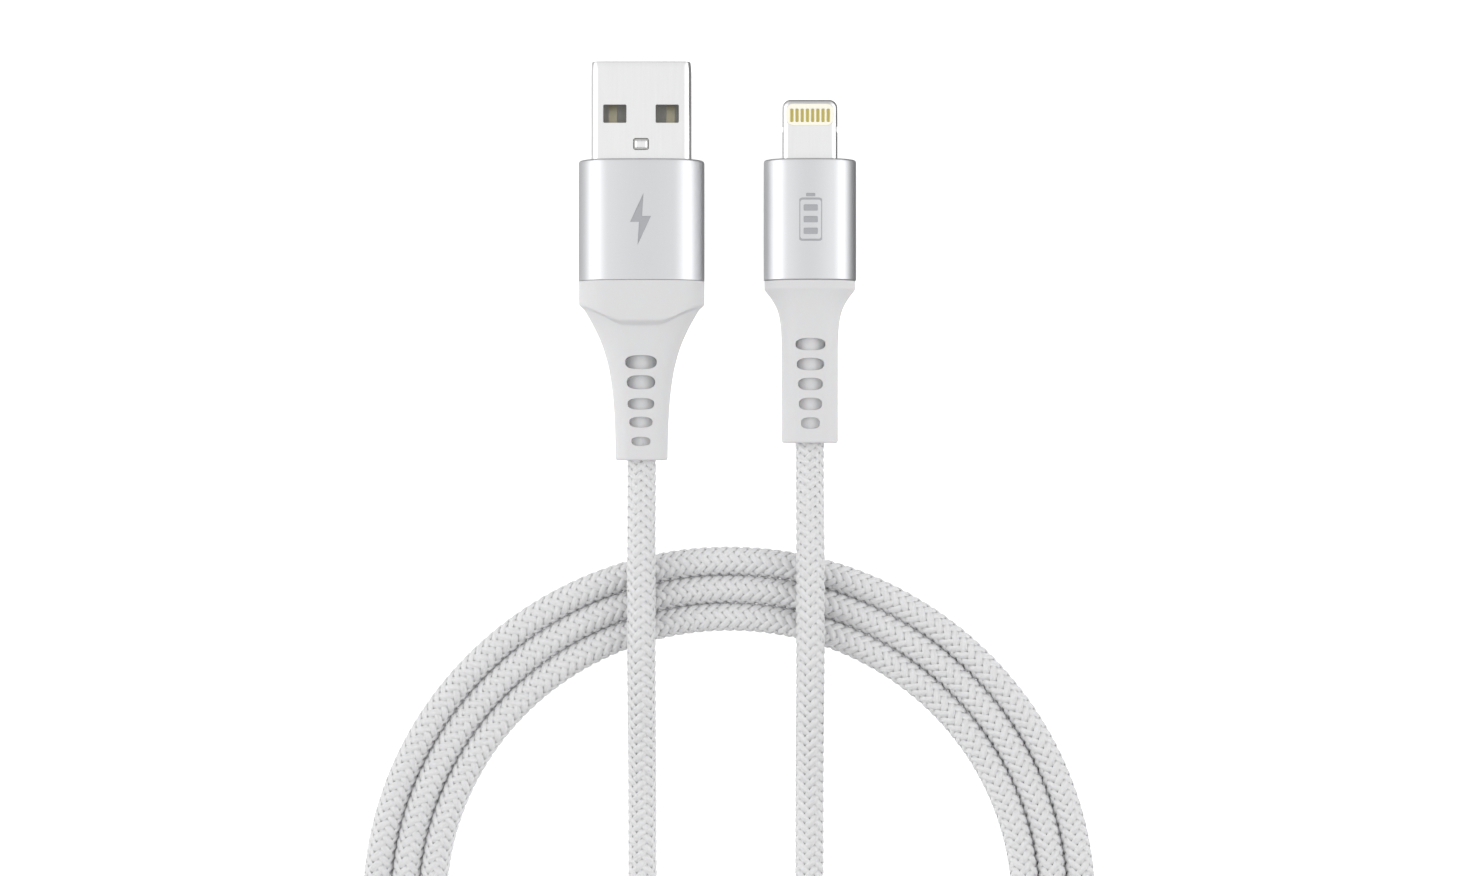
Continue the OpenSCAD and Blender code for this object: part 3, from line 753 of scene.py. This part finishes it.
@dataclass
class Boot:
    """A soft boot: a collar as wide as its housing, a neck that narrows, and five pockets on each face."""

    name: str
    node: str
    x: float
    z: float
    width: float
    thickness: float
    corner: float
    rear: float
    end: float
    collar_end: float
    collar: Collar
    start_half: float
    end_half: float
    reach: float
    pockets: Sequence[tuple[float, float, float]]
    crown: float
    collar_edge: Sequence[tuple[float, float]] = (
        (0.0, -7.7), (2.9, -7.65), (4.2, -7.15), (5.6, -6.45), (7.6, -5.6))
    collar_fall: float = 0.8
    neck_half_t: float = 2.6
    neck_extra_t: float = 1.15
    flat: float = 1.3
    side_flat: float = 0.3
    power: float = 1.25
    cord_r: float = 1.80
    floor_r: float = 2.0
    deepest: float = 0.9
    end_round: float = 0.25
    rows: float = 0.14
    count: int = 144

    def neck(self, y: float) -> np.ndarray:
        """The half sizes and corner sizes of the neck's section at a place along Y."""
        past = max(self.collar_end - y, 0.0)
        narrowing = math.exp(-((past / self.reach) ** self.power))
        width = self.end_half + (self.start_half - self.end_half) * narrowing
        fall = 1 - math.exp(-past / self.reach)
        if self.collar is Collar.STEPPED:
            height = self.neck_half_t + self.neck_extra_t * (1 - fall)
            return np.array([width, height, width - self.flat, height - self.side_flat])
        height = self.thickness / 2 + (self.neck_half_t - self.thickness / 2) * fall
        across = self.corner + (width - self.flat - self.corner) * fall
        upward = self.corner + (height - self.side_flat - self.corner) * fall
        return np.array([width, height, across, upward])

    def section(self, half_w: float, half_h: float, across: float, upward: float) -> np.ndarray:
        """A section with quarter ellipses on its corners, in even steps from its upper middle.

        Args:
            half_w: half its width.
            half_h: half its height.
            across: its corners' size along X.
            upward: their size along Z.

        Returns:
            Its points in X and Z.
        """
        turn = np.linspace(0, math.pi / 2, 40)
        quarter = np.column_stack([half_w - across + across * np.sin(turn),
                                   half_h - upward + upward * np.cos(turn)])
        right = np.concatenate([[[0, half_h]], quarter, [[half_w, 0]]])
        lower = right[::-1][1:] * [1, -1]
        half = np.concatenate([right, lower])
        whole = np.concatenate([half, half[::-1][1:] * [-1, 1]])
        way = np.concatenate([[0], np.cumsum(np.linalg.norm(np.diff(whole, axis=0), axis=1))])
        even = np.linspace(0, way[-1], self.count, endpoint=False)
        return np.stack([np.interp(even, way, whole[:, k]) for k in range(2)], axis=1)

    @staticmethod
    def crowned(section: np.ndarray, crown: float) -> np.ndarray:
        """Lower a section towards its two sides, so that its broad faces bulge.

        Args:
            section: its points in X and Z.
            crown: how much lower it is at its sides.

        Returns:
            The bulging section.
        """
        half_w, half_h = np.abs(section).max(axis=0)
        drop = crown / half_h * (section[:, 0] / half_w) ** 2
        return np.column_stack([section[:, 0], section[:, 1] * (1 - drop)])

    def outside(self, y: float) -> np.ndarray:
        """The boot's outer section at a place along Y."""
        section = self.section(*self.neck(y))
        if self.collar is Collar.BLENDED:
            section = self.crowned(section, self.crown * math.exp(-max(self.collar_end - y, 0) / self.reach))
        else:
            thick = self.section(self.width / 2, self.thickness / 2, self.corner, self.corner)
            thick = self.crowned(thick, self.crown)
            edge = np.interp(np.abs(thick[:, 0]), *zip(*self.collar_edge))
            share = np.clip((y - edge) / self.collar_fall + 0.5, 0, 1)[:, None]
            section = section + (thick - section) * share * share * (3 - 2 * share)
        past_end = self.end + self.end_round - y
        if past_end > 0:
            inset = self.end_round - math.sqrt(max(self.end_round**2 - past_end**2, 0))
            half_w = np.abs(section[:, 0]).max()
            section = section * (half_w - inset) / half_w
        return section

    def build(self) -> bpy.types.Object:
        """Make the boot with its bore and its pockets."""
        places = np.linspace(self.rear, self.end + self.end_round, round((self.rear - self.end) / self.rows))
        rounding = self.end + self.end_round * (1 - np.sin(np.linspace(0, math.pi / 2, 5)[1:]))
        rows = [(y, self.outside(y)) for y in np.concatenate([places, rounding])]
        spin = 2 * math.pi * np.arange(self.count) / self.count
        bore = self.cord_r * np.column_stack([np.sin(spin), np.cos(spin)])
        rows += [(self.end, bore), (self.end + 2, bore), (self.rear - 2, bore), (self.rear, bore)]
        boot = sleeve(self.name, rows, self.x, self.z, RUBBER)
        for pocket in self.pockets:
            carve(boot, self.pocket(*pocket, side=1), self.pocket(*pocket, side=-1))
        return settle(boot, self.node, slot="white_rubber")

    def pocket(self, behind: float, length: float, width: float, side: int) -> bpy.types.Object:
        """The room of one pocket: an oval whose floor runs round the cord.

        Args:
            behind: how far its middle is behind the housing.
            length: its size along X.
            width: its size along Y.
            side: 1 for the upper face and -1 for the lower one.

        Returns:
            The tool that cuts it.
        """
        oval = oval_plan(length, width, 2.6, 0, 0)(0)
        rings = [np.column_stack([oval * 1.04, np.full(len(oval), self.thickness)])]
        for share in (1.0, 0.98, 0.93, 0.8, 0.6, 0.4, 0.2, 0.03):
            round_floor = np.sqrt(np.clip(self.floor_r**2 - (oval[:, 0] * share) ** 2, 0, None))
            floor = np.maximum(round_floor, self.deepest)
            rings.append(np.column_stack([oval * share, floor + 0.06 * (share == 1.0)]))
        points = np.array(rings) * [1, 1, side] + [self.x, self.rear - behind, self.z]
        count = len(oval)
        faces: list = ring_faces(len(rings), count, loop=False)
        faces.append(range(count))
        faces.append(range((len(rings) - 1) * count, len(rings) * count))
        return make_piece("pocket", points, faces, RUBBER)


# ------------------------------------------------------------------ housings


def bolt_mark() -> list[np.ndarray]:
    """A plain zigzag bolt, for charging, in its own plane."""
    half = [(0.35, 3.1), (-1.25, -0.35), (-0.18, -0.35)]
    points = half + [(-x, -y) for x, y in half]
    return [np.array(points)]


def battery_mark() -> list[np.ndarray]:
    """A battery's outline with three bars in it, in its own plane."""
    outer, inner = round_rect(3.0, 5.2, 0.5, 4, 2), round_rect(2.5, 4.7, 0.3, 4, 2)
    half = len(outer) // 2
    right = np.concatenate([outer[:half + 1], inner[:half + 1][::-1]])
    left = np.concatenate([outer[half:], outer[:1], inner[:1], inner[half:][::-1]])
    bars = [pad_plan(1.7, 0.75, 0.12, 0, y)(0) for y in (-1.4, 0.0, 1.4)]
    return [right, left, pad_plan(1.1, 0.4, 0.1, 0, 2.95)(0)] + bars


@dataclass
class Housing:
    """A drawn aluminium sleeve with a closed front, a turned rear edge and an etched mark."""

    name: str
    node: str
    x: float
    z: float
    width: float
    thickness: float
    corner: float
    wall: float
    rear: float
    front: float
    opening: tuple[float, float, float]
    mark: Callable[[], list[np.ndarray]]
    mark_y: float
    front_wall: float = 0.8
    front_round: float = 0.3
    rear_bevel: float = 0.1
    crown: float = 0.75
    mark_depth: float = 0.06

    def ring(self, inset: float) -> np.ndarray:
        """The sleeve's section, drawn in by an inset all round; its broad faces bulge very slightly."""
        width, height = self.width - 2 * inset, self.thickness - 2 * inset
        section = round_rect(width, height, max(self.corner - inset, 0.3), 12, 24)
        section[:, 1] *= 1 - self.crown / (height / 2) * (section[:, 0] / (width / 2)) ** 2
        return section

    def build(self) -> bpy.types.Object:
        """Make the sleeve and etch its mark."""
        turn = np.linspace(0, math.pi / 2, 7)
        rows = [(self.rear, self.ring(self.rear_bevel)), (self.rear + self.rear_bevel, self.ring(0))]
        rows += [(y, self.ring(0)) for y in np.linspace(self.rear + 1, self.front - 1, 5)]
        rows += [(self.front - self.front_round * (1 - math.sin(a)),
                  self.ring(self.front_round * (1 - math.cos(a))))
                 for a in turn]
        hole = round_rect(*self.opening, 12, 24)
        inside = round_rect(self.width - 2 * self.wall, self.thickness - 2 * self.wall,
                            self.corner - self.wall, 12, 24)
        back = self.front - self.front_wall
        rows += [(self.front - 0.05, hole), (back, hole), (back, inside), (self.rear, inside)]
        body = sleeve(self.name, rows, self.x, self.z, ALUMINIUM, ETCHED)
        top = self.z + self.thickness / 2
        for outline in self.mark():
            plan = fixed_plan(outline, self.x, self.mark_y)
            tool = plate("mark", plan, top - self.mark_depth, top + 1, ALUMINIUM, ETCHED)
            tool.data.polygons.foreach_set("material_index", [1] * len(tool.data.polygons))
            carve(body, tool)
        return settle(body, self.node, slot="anodised_aluminium")


# ------------------------------------------------------------------ charger plug


@dataclass
class ChargerPlug:
    """The larger plug: a folded steel shell round a grey tongue, an aluminium sleeve and a collared boot."""

    x: float = -9.2
    z: float = 3.8
    shell_w: float = 12.0
    shell_t: float = 4.5
    wall: float = 0.3
    corner: float = 0.85
    shell_rear: float = 5.4
    tip: float = 23.8
    lead_in: float = 0.09
    window: tuple[float, float] = (2.8, 2.2)
    window_x: float = 3.15
    window_y: float = 17.5
    lock: tuple[float, float] = (1.9, 1.45)
    lock_y: float = 13.85
    seam: float = 0.06

    def shell(self) -> bpy.types.Object:
        """The shell: its windows, its lock slot, and the seam where the folded sheet meets underneath."""
        def outer(inset: float) -> np.ndarray:
            """The shell's section, drawn in by an inset."""
            return round_rect(self.shell_w - 2 * inset, self.shell_t - 2 * inset, self.corner - inset, 8, 10)

        rim = 0.1
        rows = [(self.shell_rear, outer(0.02)), (self.shell_rear + 0.1, outer(0)),
                (self.tip - 0.9, outer(0)),
                (self.tip - rim, outer(self.lead_in / 2)), (self.tip - 0.03, outer(self.lead_in)),
                (self.tip, outer(self.lead_in + 0.06)), (self.tip, outer(self.wall - 0.03)),
                (self.tip - 0.05, outer(self.wall)), (self.shell_rear, outer(self.wall))]
        shell = sleeve("charger_shell_formed", rows, self.x, self.z, NICKEL)
        tools = []
        for side in (-1, 1):
            hole = pad_plan(*self.window, 0.16, self.x + side * self.window_x, self.window_y)
            tools.append(plate("window", hole, self.z - self.shell_t, self.z + self.shell_t))
        slot = pad_plan(*self.lock, 0.3, self.x, self.lock_y)
        tools.append(plate("lock_slot", slot, self.z, self.z + self.shell_t))
        tools.append(plate("seam", fixed_plan(self.seam_outline(), self.x), self.z - self.shell_t, self.z))
        carve(shell, *tools)
        return settle(shell, "charger_shell", slot="nickel_plated_steel")

    def seam_outline(self) -> np.ndarray:
        """The thin gap between the sheet's two edges, with one dovetail that holds them together."""
        middle = (self.tip + 12.0) / 2
        way = np.array([(0, 12.2), (0, middle - 0.6), (1.1, middle - 0.95),
                        (1.1, middle + 0.95), (0, middle + 0.6),
                        (0, self.tip + 1)])
        ahead = np.diff(way, axis=0)
        ahead /= np.linalg.norm(ahead, axis=1)[:, None]
        before, after = np.vstack([ahead[:1], ahead]), np.vstack([ahead, ahead[-1:]])
        out = np.column_stack([before[:, 1] + after[:, 1], -before[:, 0] - after[:, 0]])
        out *= (self.seam / (1 + (before * after).sum(axis=1)) / 2)[:, None]
        return np.vstack([way + out, (way - out)[::-1]])

    def lock_nub(self) -> bpy.types.Object:
        """The rounded steel catch on the insulator's nub, which fills the lock slot."""
        plan = pad_plan(self.lock[0] - 0.24, self.lock[1] - 0.24, 0.34, self.x, self.lock_y)
        nub = plate("lock_nub", plan, self.z + 1.6, self.z + self.shell_t / 2 - 0.02, NICKEL, edge=0.3)
        return settle(nub, slot="nickel_plated_steel")

    def housing(self) -> Housing:
        """The aluminium sleeve's sizes."""
        opening = (self.shell_w + 0.06, self.shell_t + 0.06, self.corner + 0.03)
        return Housing("charger_sleeve", "charger_housing", self.x, self.z, width=15.2, thickness=7.6,
                       corner=3.4, wall=0.7, rear=-2.6, front=12.0, opening=opening,
                       mark=bolt_mark, mark_y=4.7)

    def boot(self) -> Boot:
        """The boot's sizes."""
        pockets = [(9.8, 3.8, 1.7), (12.2, 3.4, 1.7), (14.8, 3.2, 1.4), (17.0, 2.8, 1.3), (19.3, 2.3, 1.1)]
        return Boot("charger_strain_relief", "charger_boot", self.x, self.z, width=15.2, thickness=7.6,
                    corner=3.4, rear=-2.6, end=-24.2, collar_end=-4.8, collar=Collar.STEPPED,
                    start_half=7.55, end_half=3.1, reach=5.6, pockets=pockets, crown=0.75)

    def build(self) -> None:
        """Make every visible piece of the plug."""
        self.shell()
        self.lock_nub()
        self.housing().build()
        self.boot().build()


# ------------------------------------------------------------------ phone plug


@dataclass
class PhonePlug:
    """The smaller plug: a thin steel tab with eight contacts on each face, a sleeve and a slim boot."""

    x: float = 11.2
    z: float = 3.1
    tab_w: float = 6.7
    tab_t: float = 1.5
    tab_rear: float = 8.4
    tip: float = 19.6
    tip_corner: float = 1.05
    edge: float = 0.7
    field: tuple[float, float, float] = (5.85, 2.67, 0.9)
    field_y: float = 17.715
    notch_r: float = 0.45
    notch_depth: float = 0.25
    notch_y: float = 15.98
    contact: tuple[float, float] = (0.40, 1.6)
    contact_pitch: float = 0.63
    contact_y: float = 17.615
    contact_count: int = 8
    board_t: float = 0.5
    flange: tuple[float, float, float] = (7.8, 2.4, 0.8)

    def plan(self, inset: float) -> np.ndarray:
        """The tab's plan drawn in by an inset, with its two round corners at the tip."""
        half, corner = self.tab_w / 2 - inset, self.tip_corner - inset
        arc = [(half - corner + corner * math.cos(a), self.tip - inset - corner + corner * math.sin(a))
               for a in np.linspace(0, math.pi / 2, 13)]
        right = [(half, self.tab_rear + inset)] + arc
        return np.array(right + [(-x, y) for x, y in reversed(right)]) + np.array([self.x, 0])

    def board_tool(self) -> bpy.types.Object:
        """The room that the circuit board takes inside the tab."""
        room = self.board_t / 2 + 0.02
        return plate("board_room", pad_plan(4.94, 12.0, 0.05, self.x, 12.52), self.z - room, self.z + room)

    def tab(self) -> bpy.types.Object:
        """The tab with its rear flange, its side notches and the opening for the contact field."""
        low, high = self.z - self.tab_t / 2, self.z + self.tab_t / 2
        tab = plate("phone_tab_machined", self.plan, low, high, NICKEL, edge=self.edge)
        width, height, depth = self.flange
        flange = plate("flange", pad_plan(width, depth, 0.2, self.x, self.tab_rear + depth / 2),
                       self.z - height / 2, self.z + height / 2, NICKEL, edge=0.1)
        carve(tab, flange, join=True)
        for side in (-1, 1):
            place = self.x + side * (self.tab_w / 2 - self.notch_depth + self.notch_r)
            notch = pad_plan(2 * self.notch_r, 2 * self.notch_r, self.notch_r, place, self.notch_y)
            carve(tab, plate("notch", notch, self.z - 0.3 * self.tab_t, self.z + 0.3 * self.tab_t))
        field_plan = pad_plan(*self.field, self.x, self.field_y, arc=10)
        carve(tab, plate("field", field_plan, low - 1, high + 1), self.board_tool())
        return settle(tab, "phone_tab_frame", slot="nickel_plated_steel")

    def contact_plan(self, number: int, grow: float = 0.0) -> Plan:
        """The plan of one contact, counted from the left."""
        width, length = self.contact
        place = (number - (self.contact_count - 1) / 2) * self.contact_pitch
        return pad_plan(width + 2 * grow, length + 2 * grow, 0.12, self.x + place, self.contact_y, arc=4)

    def carrier(self) -> bpy.types.Object:
        """The white moulding that fills the contact field and holds the contacts apart."""
        width, length, corner = self.field
        half = self.tab_t / 2 - 0.015
        plan = pad_plan(width - 0.03, length - 0.03, corner - 0.015, self.x, self.field_y, arc=10)
        carrier = plate("phone_carrier_moulded", plan, self.z - half, self.z + half, CARRIER, edge=0.02)
        carve(carrier, self.board_tool())
        for number in range(self.contact_count):
            carve(carrier, plate("room", self.contact_plan(number, 0.005), self.z - 1, self.z + 1))
        return settle(carrier, "phone_contact_carrier", slot="white_carrier")

    def contacts(self, side: int) -> bpy.types.Object:
        """Eight gold contacts on one face.

        Args:
            side: 1 for the upper face and -1 for the lower one.

        Returns:
            The contacts, as one piece.
        """
        where = "top" if side > 0 else "bottom"
        near, far = self.z + side * (self.board_t / 2 + 0.02), self.z + side * (self.tab_t / 2 + 0.012)
        row = plate("row", self.contact_plan(0), min(near, far), max(near, far), GOLD, edge=0.05)
        for number in range(1, self.contact_count):
            carve(row, plate("row", self.contact_plan(number), min(near, far), max(near, far), GOLD,
                             edge=0.05),
                  join=True)
        row.name = f"phone_contact_pads_{where}"
        return settle(row, f"phone_contacts_{where}", slot="gold_plated_contacts")

    def housing(self) -> Housing:
        """The aluminium sleeve's sizes."""
        opening = (self.tab_w + 0.04, self.tab_t + 0.04, 0.7)
        return Housing("phone_sleeve", "phone_housing", self.x, self.z, width=11.2, thickness=6.2,
                       corner=2.6, wall=0.6, rear=-2.5, front=12.2, opening=opening,
                       mark=battery_mark, mark_y=4.8, rear_bevel=0.16, crown=1.0)

    def boot(self) -> Boot:
        """The boot's sizes."""
        pockets = [(7.7, 3.6, 1.5), (10.1, 3.3, 1.5), (12.5, 3.0, 1.5), (14.9, 2.8, 1.5), (17.2, 2.3, 1.4)]
        return Boot("phone_strain_relief", "phone_boot", self.x, self.z, width=11.2, thickness=6.2,
                    corner=2.6, rear=-2.5, end=-22.1, collar_end=-3.45, collar=Collar.BLENDED,
                    start_half=5.5, end_half=3.4, reach=2.0, pockets=pockets, crown=1.0)

    def build(self) -> None:
        """Make every visible piece of the plug."""
        self.tab()
        self.carrier()
        for side in (1, -1):
            self.contacts(side)
        self.housing().build()
        self.boot().build()


# ------------------------------------------------------------------ studio


@dataclass
class Softbox:
    """A rectangular soft light that faces the cable."""

    name: str
    place: tuple[float, float, float]
    size: tuple[float, float]
    radiance: float

    def build(self) -> None:
        """Hang the light, turned towards the plugs."""
        lamp = bpy.data.lights.new(self.name, "AREA")
        lamp.shape = "RECTANGLE"
        lamp.size, lamp.size_y = self.size
        lamp.energy = self.radiance * math.pi * self.size[0] * self.size[1]
        holder = bpy.data.objects.new(self.name, lamp)
        holder.location = self.place
        away = np.array(self.place)
        flat = math.hypot(away[0], away[1])
        holder.rotation_euler = (math.atan2(flat, away[2]), 0, math.atan2(away[0], -away[1]))
        bpy.context.scene.collection.objects.link(holder)


@dataclass
class Studio:
    """A pale table under even light, seen from straight above."""

    camera_place: tuple[float, float, float] = (1.5, -21.5, 284.0)
    lens: float = 57.0
    sensor: float = 36.0
    table_size: float = 3.0
    table_z: float = -0.1
    zenith: float = 0.66
    flank: float = 1.90
    flank_from: float = 0.85
    horizon: tuple[float, float] = (0.0, 0.35)
    below: float = 0.40
    right_fall: float = 0.75
    ends: float = 0.45
    ends_between: tuple[float, float] = (0.30, 0.65)
    fall_back: float = 0.25
    table_glow: float = 0.46
    softboxes: list[Softbox] = field(default_factory=lambda: [
        Softbox("left_softbox", (-0.55, 0.0, 0.36), (0.9, 0.30), 0.60),
        Softbox("right_softbox", (0.55, 0.0, 0.36), (0.9, 0.30), 0.40),
    ])

    def camera(self) -> None:
        """Hang the camera over the plugs, looking straight down."""
        eye = bpy.data.cameras.new("overhead_camera")
        eye.lens = self.lens
        eye.sensor_width = self.sensor
        eye.clip_start = 0.01
        holder = bpy.data.objects.new("overhead_camera", eye)
        holder.location = [value * MM for value in self.camera_place]
        bpy.context.scene.collection.objects.link(holder)
        bpy.context.scene.camera = holder

    def table(self) -> None:
        """Lay the table top."""
        half = self.table_size / 2 / MM
        sides = ((-1, -1), (1, -1), (1, 1), (-1, 1))
        corners = np.array([(x * half, y * half, self.table_z) for x, y in sides])
        top = make_piece("table_top", corners, [(0, 1, 2, 3)], TABLE_TOP, closed=False)
        shader = top.data.materials[0].node_tree.nodes["Principled BSDF"]
        shader.inputs["Emission Color"].default_value = (1, 1, 1, 1)
        shader.inputs["Emission Strength"].default_value = self.table_glow
        top.visible_glossy = False

    def sky(self) -> None:
        """Light the room: a white arch from left to right, grey at its top, dim at both ends and below."""
        world = bpy.data.worlds.new("studio_room")
        bpy.context.scene.world = world
        world.use_nodes = True
        tree = world.node_tree
        way = add_node(tree, "ShaderNodeTexCoord").outputs["Generated"]
        split = add_node(tree, "ShaderNodeSeparateXYZ", {0: way})
        aside, ahead, up = (split.outputs[axis] for axis in ("X", "Y", "Z"))
        off_x = add_node(tree, "ShaderNodeMath", {0: aside}, operation="ABSOLUTE").outputs[0]
        off_y = add_node(tree, "ShaderNodeMath", {0: ahead}, operation="ABSOLUTE").outputs[0]
        arch = add_node(tree, "ShaderNodeMapRange", {"Value": off_x, "From Max": self.flank_from,
                                                     "To Min": self.zenith, "To Max": self.flank})
        low = add_node(tree, "ShaderNodeMath", {0: aside, 1: -self.right_fall * self.below, 2: self.below},
                       operation="MULTIPLY_ADD")
        dark_to, light_from = self.horizon
        level = add_node(tree, "ShaderNodeMapRange", {"Value": up, "From Min": dark_to,
                                                      "From Max": light_from,
                                                      "To Min": low.outputs[0],
                                                      "To Max": arch.outputs["Result"]},
                         interpolation_type="SMOOTHSTEP")
        start, end = self.ends_between
        dim = add_node(tree, "ShaderNodeMath", {0: ahead, 1: self.fall_back, 2: self.ends},
                       operation="MULTIPLY_ADD")
        ends = add_node(tree, "ShaderNodeMapRange", {"Value": off_y, "From Min": start, "From Max": end,
                                                     "To Min": 1.0, "To Max": dim.outputs[0]},
                        interpolation_type="SMOOTHSTEP")
        light = add_node(tree, "ShaderNodeMath", {0: level.outputs["Result"], 1: ends.outputs["Result"]},
                         operation="MULTIPLY")
        tree.links.new(light.outputs[0], tree.nodes["Background"].inputs["Strength"])
        tree.nodes["Background"].inputs["Color"].default_value = (1, 1, 1, 1)

    def build(self) -> None:
        """Set the table, the light and the picture's tone."""
        self.table()
        self.sky()
        for softbox in self.softboxes:
            softbox.build()
        view = bpy.context.scene.view_settings
        view.view_transform = "Standard"
        view.look = "None"


# ------------------------------------------------------------------ the whole cable


def dress_inner_nodes(finishes: dict[str, Finish]) -> None:
    """Give each CAD node that stays its own finish, and break its hard edges a little.

    Args:
        finishes: the finish of each node, by name.
    """
    for name, finish in finishes.items():
        node = bpy.data.objects[name]
        material = finish.build()
        for slot in node.material_slots:
            slot.material = material
        if not node.material_slots:
            LOG.warning("%s has no material slot", name)
        bevel = node.modifiers.new("broken_edges", "BEVEL")
        bevel.width = 0.03 * MM
        bevel.segments = 2
        bevel.limit_method = "ANGLE"
        bevel.angle_limit = math.radians(50)
        LOG.info("%s: CAD node in %s", name, finish.name)


def main() -> None:
    """Build the camera, the cord, the plugs and the studio."""
    logging.basicConfig(level=logging.INFO, format="%(name)s %(message)s")
    studio = Studio()
    studio.camera()
    BraidedCord().build()
    ChargerPlug().build()
    PhonePlug().build()
    dress_inner_nodes(INNER_FINISHES)
    studio.build()


if __name__ == "__main__":
    main()
